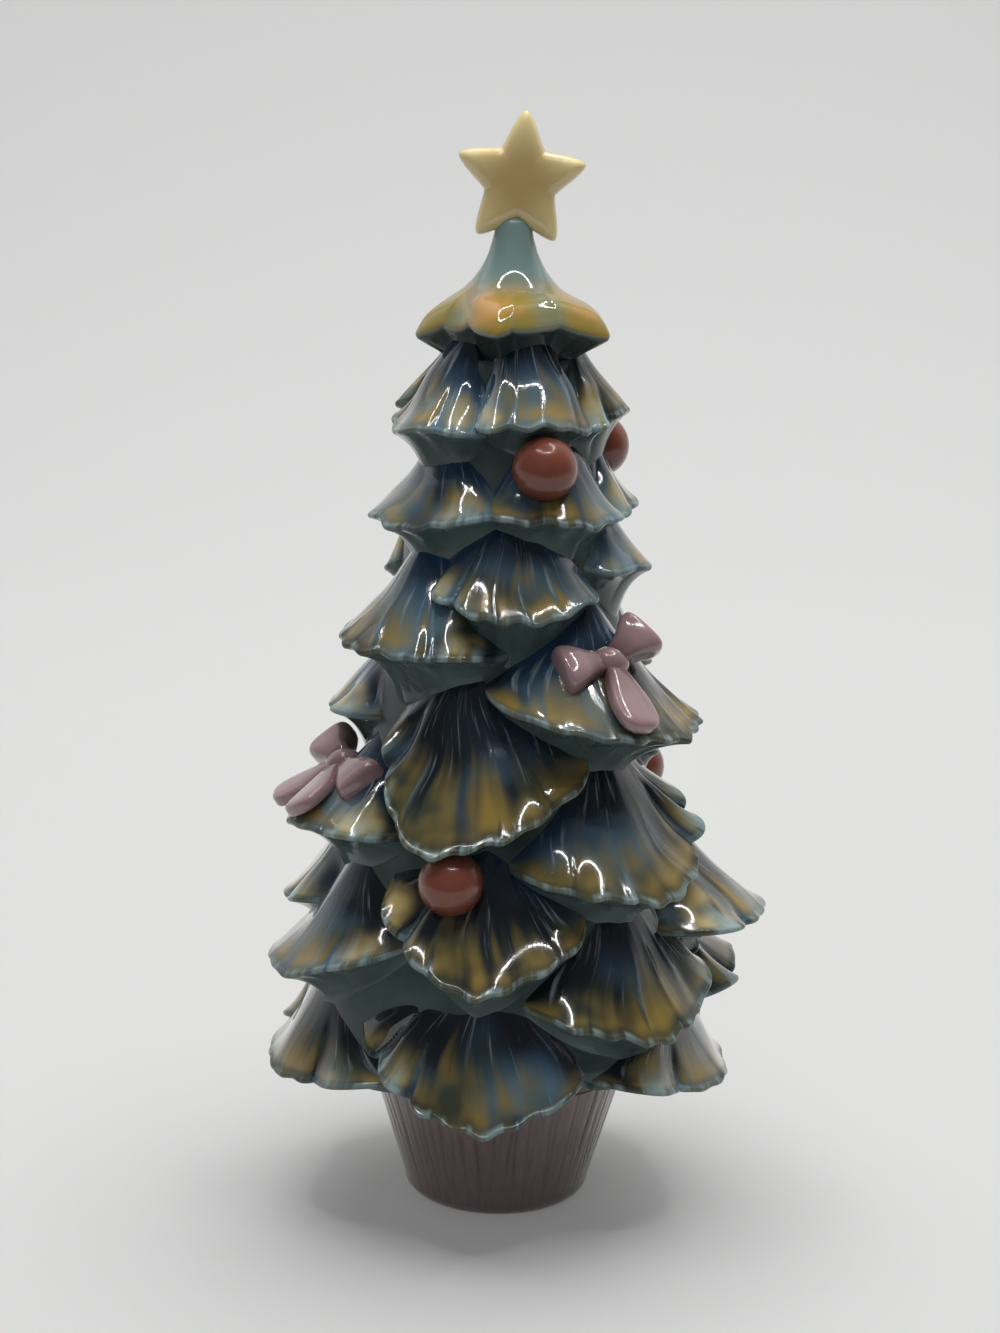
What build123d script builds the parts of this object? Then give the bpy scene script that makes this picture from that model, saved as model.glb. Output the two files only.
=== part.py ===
from build123d import *
from math import cos, pi, radians, sin, sqrt
import os

# A glazed stoneware table-top tree: a cast pot, a hollow trunk cone, a cast crown and hand-modelled
# boughs luted to the trunk, with baubles, ribbon bows and a star seated on them.
# Millimetres, +Z up, origin at the centre of the pot's flat foot; the shown side faces -Y.
# Azimuths are in degrees from the shown side, growing towards +X.

# Pot
POT_HEIGHT = 28.0
POT_FOOT_R = 18.4
POT_RIM_R = 25.5
POT_WALL = 3.0
POT_FLOOR = 3.2
POT_FOOT_ROUND = 2.4
POT_RIM_ROUND = 0.8
VENT_R = 3.0
VENT_OFFSET = 8.5

# Trunk cone, from the pot's rim to the spire's tip
TREE_HEIGHT = 178.0
CORE_FOOT_R = 41.3
CORE_TIP_R = 2.6
CORE_WALL = 4.0
CORE_FOOT_RISE = 7.5
SPIGOT_DEPTH = 5.0
SPIGOT_FIT = 0.3
SLIP_JOINT = 0.2

# Boughs
BOUGH_REACH = 21.2
CORNER_REACH = 1.0
LIP_ROUND = 0.9
FLUTE_DEPTH = 1.1
FLUTE_STEP_DEG = 11.0
EDGE_STOP_SHARE = 0.95
LIP_THIN_SHARE = 0.28
LIP_DROOP_SHARE = 0.6
LIP_BULGE_SHARE = 0.4
TOP_PULL_SHARES = ((0.22, 0.45), (0.60, 0.78))
ROOT_EASE_POWER = 1.2
LIP_EASE_POWER = 1.7
REACH_EASE_POWER = 3
FLUTE_FADE_POWER = 4

# Each bough: azimuth, left and right span in degrees, then shares of TREE_HEIGHT above the rim for its
# apex, lip and root, its reach past the trunk as a share of BOUGH_REACH, and its two side corners.
BOUGH_SHARES = {
    "bough_2_left": (-56, 38, 40, 0.803, 0.739, 0.685, 0.65, 0.758, 0.747),
    "bough_2_front": (15, 36, 40, 0.812, 0.750, 0.725, 0.58, 0.764, 0.753),
    "bough_2_right": (84, 36, 36, 0.806, 0.758, 0.702, 0.54, 0.770, 0.753),
    "bough_2_back_right": (150, 38, 38, 0.809, 0.747, 0.697, 0.58, 0.781, 0.770),
    "bough_2_back_left": (-125, 36, 30, 0.809, 0.747, 0.697, 0.60, 0.772, 0.772),
    "bough_3_left": (-54, 42, 48, 0.683, 0.640, 0.596, 0.67, 0.663, 0.646),
    "bough_3_front": (32, 36, 36, 0.690, 0.658, 0.607, 0.56, 0.667, 0.667),
    "bough_3_right": (97, 34, 36, 0.705, 0.657, 0.621, 0.46, 0.683, 0.663),
    "bough_3_back": (-165, 38, 38, 0.736, 0.652, 0.598, 0.57, 0.674, 0.674),
    "bough_4_front": (2, 42, 46, 0.612, 0.542, 0.500, 0.53, 0.579, 0.567),
    "bough_4_right": (84, 38, 40, 0.618, 0.584, 0.534, 0.47, 0.596, 0.596),
    "bough_4_back_right": (150, 38, 38, 0.646, 0.556, 0.500, 0.56, 0.556, 0.579),
    "bough_4_back_left": (-125, 36, 36, 0.652, 0.562, 0.506, 0.58, 0.590, 0.590),
    "bough_5_left": (-50, 46, 48, 0.590, 0.508, 0.452, 0.74, 0.528, 0.496),
    "bough_5_front_right": (50, 54, 42, 0.522, 0.421, 0.371, 0.85, 0.472, 0.433),
    "bough_5_right": (108, 26, 26, 0.534, 0.472, 0.427, 0.35, 0.483, 0.478),
    "bough_5_back": (-165, 38, 38, 0.551, 0.466, 0.416, 0.61, 0.489, 0.489),
    "bough_6_left": (-108, 38, 36, 0.472, 0.412, 0.360, 0.58, 0.422, 0.422),
    "bough_6_back_right": (150, 38, 38, 0.466, 0.382, 0.326, 0.67, 0.427, 0.404),
    "bough_6_right": (108, 26, 24, 0.410, 0.371, 0.343, 0.24, 0.376, 0.365),
    "bough_7_left": (-68, 38, 32, 0.360, 0.303, 0.250, 0.75, 0.312, 0.300),
    "bough_7_front": (-23, 28, 57, 0.455, 0.309, 0.292, 0.65, 0.424, 0.390),
    "bough_7_back": (-165, 38, 38, 0.382, 0.292, 0.236, 0.69, 0.326, 0.326),
    "bough_8_front_right": (47, 42, 38, 0.368, 0.250, 0.211, 0.73, 0.287, 0.346),
    "bough_8_right": (98, 38, 38, 0.275, 0.180, 0.132, 1.00, 0.197, 0.180),
    "bough_8_back_right": (150, 38, 38, 0.298, 0.202, 0.146, 0.74, 0.265, 0.236),
    "bough_9_left": (-62, 36, 32, 0.239, 0.143, 0.104, 0.67, 0.148, 0.155),
    "bough_9_front": (-6, 34, 34, 0.261, 0.163, 0.129, 0.62, 0.247, 0.230),
    "bough_9_back_left": (-112, 40, 38, 0.287, 0.174, 0.132, 0.62, 0.202, 0.213),
    "bough_9_back": (-165, 38, 38, 0.213, 0.129, 0.079, 0.58, 0.146, 0.146),
    "bough_10_front_right": (44, 34, 38, 0.207, 0.096, 0.067, 0.52, 0.146, 0.124),
    "bough_10_right": (112, 35, 35, 0.135, 0.107, 0.062, 0.71, 0.101, 0.101),
    "bough_11_left": (-68, 36, 34, 0.096, 0.018, 0.045, 0.39, 0.030, 0.036),
    "bough_11_front": (-5, 38, 28, 0.124, 0.009, 0.045, 0.31, 0.112, 0.056),
    "bough_11_right": (68, 38, 34, 0.087, 0.014, 0.045, 0.38, 0.050, 0.028),
    "bough_11_back_right": (140, 38, 30, 0.087, 0.014, 0.045, 0.36, 0.036, 0.048),
    "bough_11_back": (-165, 34, 30, 0.076, 0.014, 0.042, 0.34, 0.030, 0.030),
    "bough_11_back_left": (-118, 28, 28, 0.107, 0.020, 0.045, 0.35, 0.056, 0.056),
}

# Crown: the spire and its scalloped skirt, one cast piece plugged into the top of the trunk
CROWN_SEAT_SHARE = 0.818
SPIRE_TOP_SHARE = 0.956
CROWN_PLUG_DEPTH = 4.0
CROWN_SKIRT_R = 19.2
CROWN_LIP_SHARE = 0.17
CROWN_NOTCHES = 13
CROWN_NOTCH_DEG = 10.0
CROWN_NOTCH_R = 3.4
CROWN_NOTCH_DEPTH = 1.5
# Height above the seat as a share of the crown's height, and radius as a share of CROWN_SKIRT_R.
SPIRE_SHARES = ((0.262, 0.90), (0.367, 0.70), (0.523, 0.47), (0.676, 0.28), (0.828, 0.192), (0.922, 0.165))
SPIRE_TIP_SHARES = ((0.978, 0.115), (1.0, 0.0))

# Star, straddling the spire's tip
STAR_R = 15.3
STAR_CROTCH_R = 8.0
STAR_THICKNESS = 7.0
STAR_ROUND = 1.5
STAR_POINTS = 5
STAR_LEAN_DEG = 4.0
STAR_SIDE_STEP = 0.9
STAR_SADDLE = 1.05
# Depth as a share of half the thickness, then outline as a share of the star's radii.
STAR_PUFF_SHARES = ((-1.0, 0.74), (-0.72, 0.92), (0.0, 1.0), (0.72, 0.92), (1.0, 0.74))

# Baubles: azimuth, height as a share of TREE_HEIGHT above the rim, stand-off from the trunk as a share
# of BAUBLE_R.
BAUBLE_R = 5.9
BAUBLE_SHARES = {
    "bauble_2_front": (18, 0.705, 0.25),
    "bauble_2_right": (117, 0.712, 0.0),
    "bauble_4_back": (-164, 0.556, 0.15),
    "bauble_6_back_left": (-144, 0.376, 0.0),
    "bauble_6_right": (128, 0.322, 0.0),
    "bauble_7_front": (-15, 0.269, 0.08),
}

# Bows: a knot with ribbon loops and tails pressed on to a bough
KNOT_R = 3.6
BOW_STAND_OFF = 0.3
LOOP_LENGTH = 12.5
LOOP_WIDTH = 8.6
LOOP_THICKNESS = 5.0
TAIL_LENGTH = 16.0
TAIL_WIDTH = 7.4
TAIL_THICKNESS = 2.8
# The bough, the knot's azimuth, its place from trunk to lip as a share.
BOW_SEAT_SHARES = {
    "bow_right": ("bough_5_front_right", 42, 0.32),
    "bow_left": ("bough_7_left", -78, 0.16),
}
# Each limb: its kind, its turn on the bough from across to downhill, its lift off it, and its length share.
BOW_LIMB_SHARES = {
    "bow_right_loop_left": ("loop", 190, -14, 1.0),
    "bow_right_loop_right": ("loop", -20, 26, 0.86),
    "bow_right_tail": ("tail", 104, 2, 1.0),
    "bow_left_loop_upper": ("loop", 182, 13, 0.78),
    "bow_left_loop_lower": ("loop", -3, -8, 1.0),
    "bow_left_tail_outer": ("tail", 102, 3, 1.0),
    "bow_left_tail_inner": ("tail", 50, 1, 0.95),
}
# Place along the limb, width and thickness shares.
LOOP_SHARES = ((0.0, 0.40, 0.66), (0.25, 0.74, 0.95), (0.62, 1.0, 1.0), (0.88, 0.82, 0.84), (1.0, 0.34, 0.40))
TAIL_SHARES = ((0.0, 0.38, 0.9), (0.40, 0.70, 1.0), (0.80, 0.94, 0.95), (1.0, 1.0, 0.70))

CROWN_SEAT_Z = POT_HEIGHT + CROWN_SEAT_SHARE * TREE_HEIGHT
SPIRE_TOP_Z = POT_HEIGHT + SPIRE_TOP_SHARE * TREE_HEIGHT


def height(share):
    return POT_HEIGHT + share * TREE_HEIGHT


def trunk_radius(z):
    share = (z - POT_HEIGHT) / TREE_HEIGHT
    return CORE_FOOT_R + (CORE_TIP_R - CORE_FOOT_R) * share


def off_trunk(z, distance):
    # The radius of a point that lies a distance off the sloping trunk.
    taper = (CORE_FOOT_R - CORE_TIP_R) / TREE_HEIGHT
    return trunk_radius(z) + distance * sqrt(1 + taper * taper)


def seat_radius(z):
    return off_trunk(z, SLIP_JOINT)


def at_azimuth(azimuth, radius, z):
    turn = radians(azimuth)
    return Vector(radius * sin(turn), -radius * cos(turn), z)


def spin(points):
    # Revolves a closed outline of (radius, height) points about the trunk's axis.
    outline = Polyline(*[(r, 0, z) for r, z in points], close=True)
    return revolve(make_face(outline), Axis.Z)


def largest(shape):
    return max(shape.solids(), key=lambda solid: solid.volume)


def pot_inner_radius(z):
    return POT_FOOT_R + (POT_RIM_R - POT_FOOT_R) * z / POT_HEIGHT - POT_WALL


def pot():
    body = spin([
        (0, 0),
        (POT_FOOT_R, 0),
        (POT_RIM_R, POT_HEIGHT),
        (pot_inner_radius(POT_HEIGHT), POT_HEIGHT),
        (pot_inner_radius(POT_FLOOR), POT_FLOOR),
        (0, POT_FLOOR),
    ])
    foot_edges = body.edges().filter_by(GeomType.CIRCLE).filter_by_position(Axis.Z, 0, 0)
    body = fillet(foot_edges.sort_by(SortBy.RADIUS)[-1], POT_FOOT_ROUND)
    rim_edge = body.edges().filter_by(GeomType.CIRCLE).sort_by(SortBy.RADIUS)[-1]
    body = fillet(rim_edge, POT_RIM_ROUND)
    vent = Pos(VENT_OFFSET, 0, 0) * Cylinder(VENT_R, POT_HEIGHT)
    return largest(body - vent)


def trunk_core():
    spigot_r = pot_inner_radius(POT_HEIGHT - SPIGOT_DEPTH) - SPIGOT_FIT
    spigot_inner_r = spigot_r - CORE_WALL
    seat_r = trunk_radius(CROWN_SEAT_Z)
    foot_z = POT_HEIGHT + CORE_FOOT_RISE
    foot_r = trunk_radius(foot_z)
    # The foot slopes in under the lowest boughs to the pot's rim.
    return largest(spin([
        (spigot_inner_r, POT_HEIGHT - SPIGOT_DEPTH),
        (spigot_r, POT_HEIGHT - SPIGOT_DEPTH),
        (spigot_r, POT_HEIGHT),
        (POT_RIM_R, POT_HEIGHT),
        (foot_r, foot_z),
        (seat_r, CROWN_SEAT_Z),
        (seat_r - CORE_WALL, CROWN_SEAT_Z),
        (foot_r - CORE_WALL, foot_z + CORE_WALL),
        (POT_RIM_R - CORE_WALL, POT_HEIGHT + CORE_WALL),
        (spigot_inner_r, POT_HEIGHT + CORE_WALL),
    ]))


def bough_profile(shares, cross, crest):
    # The profile of a bough at one azimuth; cross runs from -1 at its left corner to 1 at its right.
    apex, lip, root, reach, left_corner, right_corner = shares
    away = abs(cross)
    corner_z = height(left_corner if cross < 0 else right_corner)
    top_z = height(apex) + (corner_z - height(apex)) * away
    root_z = height(root) + (corner_z - height(root)) * away ** ROOT_EASE_POWER
    lip_z = height(lip) + (corner_z - height(lip)) * away ** LIP_EASE_POWER
    tip_r = trunk_radius(height(lip)) + reach * BOUGH_REACH
    corner_r = trunk_radius(corner_z) + CORNER_REACH
    flute = FLUTE_DEPTH * (1 - away ** FLUTE_FADE_POWER) * crest / 2
    lip_r = tip_r + (corner_r - tip_r) * away ** REACH_EASE_POWER + flute
    half_lip = min(LIP_ROUND, LIP_THIN_SHARE * (top_z - root_z))
    run = lip_r - half_lip - seat_radius(top_z)
    drop = lip_z + half_lip - top_z
    near, far = TOP_PULL_SHARES
    seat = (seat_radius(top_z), top_z)
    pull_near = (seat[0] + near[0] * run, top_z + near[1] * drop)
    pull_far = (seat[0] + far[0] * run, top_z + far[1] * drop + flute)
    lip_top = (seat[0] + run, lip_z + half_lip + flute * LIP_DROOP_SHARE)
    lip_low = (seat[0] + run, lip_z - half_lip)
    bulge = lip_r + LIP_BULGE_SHARE * half_lip
    root_point = (seat_radius(root_z), root_z)
    top_pulls = (seat, pull_near, pull_far, lip_top)
    lip_pulls = (lip_top, (bulge, lip_z + half_lip / 2), (bulge, lip_z - half_lip / 2), lip_low)
    return top_pulls, lip_pulls, root_point


def bough_slice(row, cross, crest):
    azimuth = bough_azimuth(row, cross)
    top, lip, root_point = bough_profile(row[3:], cross, crest)

    def place(point):
        return at_azimuth(azimuth, *point)

    return Wire([
        Edge.make_bezier(*[place(point) for point in top]),
        Edge.make_bezier(*[place(point) for point in lip]),
        Edge.make_line(place(lip[-1]), place(root_point)),
        Edge.make_line(place(root_point), place(top[0])),
    ])


def bough_azimuth(row, cross):
    azimuth, left_span, right_span = row[:3]
    return azimuth + cross * (left_span if cross < 0 else right_span)


def bough(row):
    # Slices alternate between the crests and the valleys of the flutes.
    flutes = round((row[1] + row[2]) / FLUTE_STEP_DEG)
    slices = []
    for step in range(2 * flutes + 1):
        cross = EDGE_STOP_SHARE * (step / flutes - 1)
        crest = 1 if step % 2 else -1
        slices.append(bough_slice(row, cross, crest))
    return Solid.make_loft(slices, True)


def bough_top_point(name, azimuth, along):
    # A point on a bough's smooth upper face, with the ways across it, downhill and off it.
    row = BOUGH_SHARES[name]
    offset = azimuth - row[0]
    cross = offset / (row[1] if offset < 0 else row[2])
    top = bough_profile(row[3:], cross, 0)[0]
    edge = Edge.make_bezier(*[at_azimuth(azimuth, *point) for point in top])
    downhill = edge.tangent_at(along)
    across = Vector(cos(radians(azimuth)), sin(radians(azimuth)), 0)
    return edge.position_at(along), across, downhill, downhill.cross(across)


def crown():
    crown_height = SPIRE_TOP_Z - CROWN_SEAT_Z
    seat_r = trunk_radius(CROWN_SEAT_Z)
    plug_r = seat_r - CORE_WALL - SPIGOT_FIT
    lip_z = CROWN_SEAT_Z + CROWN_LIP_SHARE * crown_height

    def profile(shares):
        return [(CROWN_SKIRT_R * out, 0, CROWN_SEAT_Z + up * crown_height) for up, out in shares]

    lip_low = (CROWN_SKIRT_R - LIP_ROUND, 0, lip_z - LIP_ROUND)
    lip_out = (CROWN_SKIRT_R, 0, lip_z)
    flare = profile(SPIRE_SHARES)
    tip = profile(SPIRE_TIP_SHARES)
    plug_z = CROWN_SEAT_Z - CROWN_PLUG_DEPTH
    underside = Polyline(
        (0, 0, plug_z),
        (plug_r, 0, plug_z),
        (plug_r, 0, CROWN_SEAT_Z),
        (seat_r, 0, CROWN_SEAT_Z),
        lip_low,
    )
    outline = [
        underside,
        ThreePointArc(lip_low, lip_out, flare[0]),
        Spline(*flare, *tip),
        Line(tip[-1], underside.position_at(0)),
    ]
    body = revolve(make_face(outline), Axis.Z)
    for step in range(CROWN_NOTCHES):
        azimuth = CROWN_NOTCH_DEG + 360 * step / CROWN_NOTCHES
        notch_centre = at_azimuth(azimuth, CROWN_SKIRT_R + CROWN_NOTCH_R - CROWN_NOTCH_DEPTH, CROWN_SEAT_Z)
        body -= Pos(notch_centre) * Cylinder(CROWN_NOTCH_R, 2 * crown_height)
    return largest(body)


def star_section(depth_share, outline_share, centre):
    points = []
    for step in range(2 * STAR_POINTS):
        radius = outline_share * (STAR_CROTCH_R if step % 2 else STAR_R)
        turn = pi * step / STAR_POINTS + radians(STAR_LEAN_DEG)
        points.append((radius * sin(turn), radius * cos(turn)))
    outline = make_face(Polyline(*points, close=True))
    outline = fillet(outline.vertices(), STAR_ROUND * outline_share)
    back = centre + Vector(0, depth_share * STAR_THICKNESS / 2, 0)
    return (Plane(back, x_dir=(1, 0, 0), z_dir=(0, -1, 0)) * outline).face().outer_wire()


def star():
    # The crotch between the two lower points saddles the spire's tip.
    centre = Vector(STAR_SIDE_STEP, 0, SPIRE_TOP_Z + STAR_CROTCH_R + STAR_SADDLE)
    return Solid.make_loft([star_section(*row, centre) for row in STAR_PUFF_SHARES])


def bauble(azimuth, share, stand_off):
    z = height(share)
    centre = at_azimuth(azimuth, off_trunk(z, SLIP_JOINT + BAUBLE_R * (1 + stand_off)), z)
    return Solid.make_sphere(BAUBLE_R, Plane(centre), -90, 90, 360)


def bow_limb(knot_centre, run, normal, width, thickness, shares):
    # Starts flat against the knot and swells along its run.
    start = knot_centre + run.normalized() * (KNOT_R + SLIP_JOINT)
    length = run.length - KNOT_R - SLIP_JOINT
    sections = []
    for along, width_share, thickness_share in shares:
        origin = start + run.normalized() * (length * along)
        plane = Plane(origin, x_dir=run.cross(normal), z_dir=run)
        edge = Edge.make_ellipse(width * width_share / 2, thickness * thickness_share / 2, plane)
        sections.append(Wire([edge]))
    return Solid.make_loft(sections)


def bow(name):
    bough_name, azimuth, along = BOW_SEAT_SHARES[name]
    foot, across, downhill, normal = bough_top_point(bough_name, azimuth, along)
    centre = foot + normal * (KNOT_R + BOW_STAND_OFF)
    pieces = {name + "_knot": Solid.make_sphere(KNOT_R, Plane(centre), -90, 90, 360)}
    for limb, (kind, turn, lift, length_share) in BOW_LIMB_SHARES.items():
        if not limb.startswith(name):
            continue
        level = across * cos(radians(turn)) + downhill * sin(radians(turn))
        way = level * cos(radians(lift)) + normal * sin(radians(lift))
        if kind == "loop":
            run = way * (LOOP_LENGTH * length_share)
            pieces[limb] = bow_limb(centre, run, normal, LOOP_WIDTH, LOOP_THICKNESS, LOOP_SHARES)
        else:
            run = way * (TAIL_LENGTH * length_share)
            pieces[limb] = bow_limb(centre, run, normal, TAIL_WIDTH, TAIL_THICKNESS, TAIL_SHARES)
    return pieces


parts = {"pot": pot(), "trunk_core": trunk_core(), "crown": crown(), "star": star()}
for name, row in BOUGH_SHARES.items():
    parts[name] = bough(row)
for name, row in BAUBLE_SHARES.items():
    parts[name] = bauble(*row)
for name in BOW_SEAT_SHARES:
    parts.update(bow(name))

os.makedirs("parts", exist_ok=True)
for name, solid in parts.items():
    export_step(solid, os.path.join("parts", name + ".step"))
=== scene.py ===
import math
import bpy
import numpy as np
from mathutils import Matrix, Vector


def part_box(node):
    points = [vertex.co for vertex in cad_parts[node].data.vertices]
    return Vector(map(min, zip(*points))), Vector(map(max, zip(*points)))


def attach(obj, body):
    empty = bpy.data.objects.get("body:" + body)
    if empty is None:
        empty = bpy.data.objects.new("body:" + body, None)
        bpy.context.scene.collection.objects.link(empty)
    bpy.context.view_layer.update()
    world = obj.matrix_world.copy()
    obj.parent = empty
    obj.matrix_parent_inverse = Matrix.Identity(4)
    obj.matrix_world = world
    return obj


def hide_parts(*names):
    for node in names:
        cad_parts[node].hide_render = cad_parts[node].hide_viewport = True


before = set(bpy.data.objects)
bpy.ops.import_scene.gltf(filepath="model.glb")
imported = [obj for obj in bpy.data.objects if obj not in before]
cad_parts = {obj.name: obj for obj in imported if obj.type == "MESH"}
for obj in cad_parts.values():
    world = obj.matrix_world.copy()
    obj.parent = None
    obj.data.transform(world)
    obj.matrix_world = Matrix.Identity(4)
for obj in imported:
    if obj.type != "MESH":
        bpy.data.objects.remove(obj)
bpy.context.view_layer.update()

# Pot: slip-cast stoneware, tapered to its foot, with strokes like wood grain combed down its wall before
# it took a thin mauve-brown glaze. It stands on its flat foot and holds the trunk's spigot in its mouth.
POT_HEIGHT = 0.028
POT_FOOT_R = 0.0181
POT_RIM_R = 0.0264
POT_RIM_EDGE_SHARE = 0.15
POT_WALL = 0.003
POT_FLOOR = 0.0032
POT_FOOT_ROUND = 0.0038
POT_AROUND = 480
POT_FOOT_STEPS = 7
POT_WALL_STEPS = 40
# A profile ends this far from the axis, so that its end face has some width.
AXIS_R = 0.0005
STROKE_PITCH = 0.0017
STROKE_DEPTH = 0.00024
STROKE_WIDTH = 0.00035
STROKE_DEEPEST = 1.4
STROKE_FOOT_ROWS = 3
# What each stroke draws from: its place in its pitch, how far it wanders in radians and in how many waves,
# the heights where it starts and is full, and its strength.
STROKE_JITTER = (-0.4, 0.4)
STROKE_WANDER = (0.006, 0.03)
STROKE_WAVES = (2, 7)
STROKE_START_Z = (-0.008, 0.012)
STROKE_FULL_Z = (0.012, 0.02)
STROKE_STRENGTH = (0.2, 1.0)
PHASE = (0, 6)
POT_GRAIN_PER_METRE = (900, 900, 45)
GLAZE_IOR = 1.52
COAT_ROUGHNESS = 0.02


def linear(hex_colour):
    # An sRGB hex value as the linear colour that a shader takes.
    channels = [int(hex_colour[start:start + 2], 16) / 255 for start in (1, 3, 5)]
    return tuple(c / 12.92 if c <= 0.04045 else ((c + 0.055) / 1.055) ** 2.4 for c in channels) + (1.0,)


def add_node(tree, kind, inputs=None, **settings):
    # Adds a node; an input that is another node's socket is linked, and any other is set.
    node = tree.nodes.new(kind)
    for key, value in settings.items():
        setattr(node, key, value)
    for key, value in (inputs or {}).items():
        if isinstance(value, bpy.types.NodeSocket):
            tree.links.new(value, node.inputs[key])
        else:
            node.inputs[key].default_value = value
    return node


def new_glaze(name, roughness, coat, specular=0.5):
    # A fired glaze: a coloured body under a clear glassy coat, which gives sharp lamp reflections.
    material = bpy.data.materials.new(name)
    material.use_nodes = True
    shader = material.node_tree.nodes["Principled BSDF"]
    shader.inputs["Roughness"].default_value = roughness
    shader.inputs["IOR"].default_value = GLAZE_IOR
    shader.inputs["Specular IOR Level"].default_value = specular
    shader.inputs["Coat Weight"].default_value = coat
    shader.inputs["Coat Roughness"].default_value = COAT_ROUGHNESS
    return material, material.node_tree, shader


def object_space(tree):
    return add_node(tree, "ShaderNodeTexCoord").outputs["Object"]


def mark(tree, name):
    # A value that skin() left on the mesh's points.
    return add_node(tree, "ShaderNodeAttribute", attribute_name=name).outputs["Fac"]


def noise(space, size, detail):
    # Clouds of about a given size.
    inputs = {"Vector": space, "Scale": 1 / size, "Detail": detail}
    return add_node(space.id_data, "ShaderNodeTexNoise", inputs).outputs[0]


def drawn_out(space, scale, detail):
    # Clouds that are drawn out into streaks, by another scale along each axis.
    mapped = add_node(space.id_data, "ShaderNodeMapping", {"Vector": space, "Scale": scale}).outputs[0]
    return noise(mapped, 1.0, detail)


def level(value, low, high):
    # A share that grows evenly between two values.
    ranges = {"Value": value, "From Min": low, "From Max": high}
    return add_node(value.id_data, "ShaderNodeMapRange", ranges).outputs[0]


def over(share, below, above):
    # One colour laid over another.
    inputs = {"Factor": share, 6: below, 7: above}
    return add_node(share.id_data, "ShaderNodeMix", inputs, data_type="RGBA").outputs[2]


def bump(height_map, strength, distance):
    inputs = {"Height": height_map, "Strength": strength, "Distance": distance}
    return add_node(height_map.id_data, "ShaderNodeBump", inputs).outputs[0]


def skin(name, rings, material, **marks):
    # A closed mesh through rings of points, with a face over each end; marks are values on its points.
    rings = np.asarray(rings)
    count, around = rings.shape[:2]
    index = np.arange(count * around).reshape(count, around)
    here, ahead = index[:-1], index[1:]
    quads = np.stack([here, np.roll(here, -1, 1), np.roll(ahead, -1, 1), ahead], -1).reshape(-1, 4)
    faces = quads.tolist() + [index[0, ::-1].tolist(), index[-1].tolist()]
    mesh = bpy.data.meshes.new(name)
    mesh.from_pydata(rings.reshape(-1, 3).tolist(), [], faces)
    mesh.polygons.foreach_set("use_smooth", [True] * len(faces))
    for mark_name, values in marks.items():
        values = np.asarray(values, dtype=np.float32)
        vector = values.ndim == 3
        layer = mesh.attributes.new(mark_name, "FLOAT_VECTOR" if vector else "FLOAT", "POINT")
        layer.data.foreach_set("vector" if vector else "value", values.ravel())
    mesh.materials.append(material)
    piece = bpy.data.objects.new(name, mesh)
    bpy.context.scene.collection.objects.link(piece)
    return piece


def place(piece, node):
    # The piece stands for its CAD node and moves with the one rigid body.
    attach(piece, "root")
    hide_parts(node)


def full_turn(steps):
    return np.linspace(0, 2 * math.pi, steps, endpoint=False)[None, :]


def at_azimuth(azimuth, radius, z):
    # Azimuth 0 is the shown side, growing towards +X.
    azimuth, radius, z = np.broadcast_arrays(azimuth, radius, z)
    return np.stack([radius * np.sin(azimuth), -radius * np.cos(azimuth), z], -1)


def between(low, high, share):
    return low + (high - low) * share


def smooth_step(value, low, high):
    share = np.clip((value - low) / (high - low), 0, 1)
    return share * share * (3 - 2 * share)


def pot_strokes(azimuth, z):
    # Irregular combed strokes that wander a little on their way down.
    draw = np.random.default_rng(11)
    count = round(2 * math.pi * POT_RIM_R / STROKE_PITCH)
    depth = np.zeros(np.broadcast(azimuth, z).shape)
    for stroke in range(count):
        middle = 2 * math.pi * (stroke + draw.uniform(*STROKE_JITTER)) / count
        reach = draw.uniform(*STROKE_WANDER)
        wander = reach * np.sin(z / POT_HEIGHT * draw.uniform(*STROKE_WAVES) + draw.uniform(*PHASE))
        away = np.angle(np.exp(1j * (azimuth - middle - wander))) * POT_RIM_R
        fade = smooth_step(z, draw.uniform(*STROKE_START_Z), draw.uniform(*STROKE_FULL_Z))
        depth += draw.uniform(*STROKE_STRENGTH) * fade * np.exp(-(away / STROKE_WIDTH) ** 2)
    return STROKE_DEPTH * np.minimum(depth, STROKE_DEEPEST)


foot_turn = np.linspace(0, math.pi / 2, POT_FOOT_STEPS)[:, None]
foot_side_r = between(POT_FOOT_R, POT_RIM_R, POT_FOOT_ROUND / POT_HEIGHT)
foot_r = foot_side_r - POT_FOOT_ROUND * (1 - np.sin(foot_turn))
foot_z = POT_FOOT_ROUND * (1 - np.cos(foot_turn))
wall_z = np.linspace(POT_FOOT_ROUND, POT_HEIGHT, POT_WALL_STEPS)[:, None]
wall_r = between(POT_FOOT_R, POT_RIM_R, wall_z / POT_HEIGHT)
pot_underside = [[AXIS_R, 0.0], [POT_FOOT_R / 2, 0.0]]
pot_profile = np.concatenate([
    pot_underside,
    np.concatenate([foot_r, foot_z], 1),
    np.concatenate([wall_r, wall_z], 1)[1:],
    [[POT_RIM_R - POT_RIM_EDGE_SHARE * POT_WALL, POT_HEIGHT], [POT_RIM_R - POT_WALL, POT_HEIGHT]],
    [[POT_FOOT_R - POT_WALL / 2, POT_FLOOR], [AXIS_R, POT_FLOOR]],
])
profile_r, profile_z = pot_profile[:, :1], pot_profile[:, 1:]
profile_row = np.arange(len(pot_profile))
wall_row = len(pot_underside) + POT_FOOT_STEPS
stroked = (profile_row >= wall_row - STROKE_FOOT_ROWS) & (profile_row < wall_row + POT_WALL_STEPS - 1)
pot_turn = full_turn(POT_AROUND)
strokes = pot_strokes(pot_turn, profile_z) * stroked[:, None]
pot_rings = at_azimuth(pot_turn, profile_r - strokes, profile_z)

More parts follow.
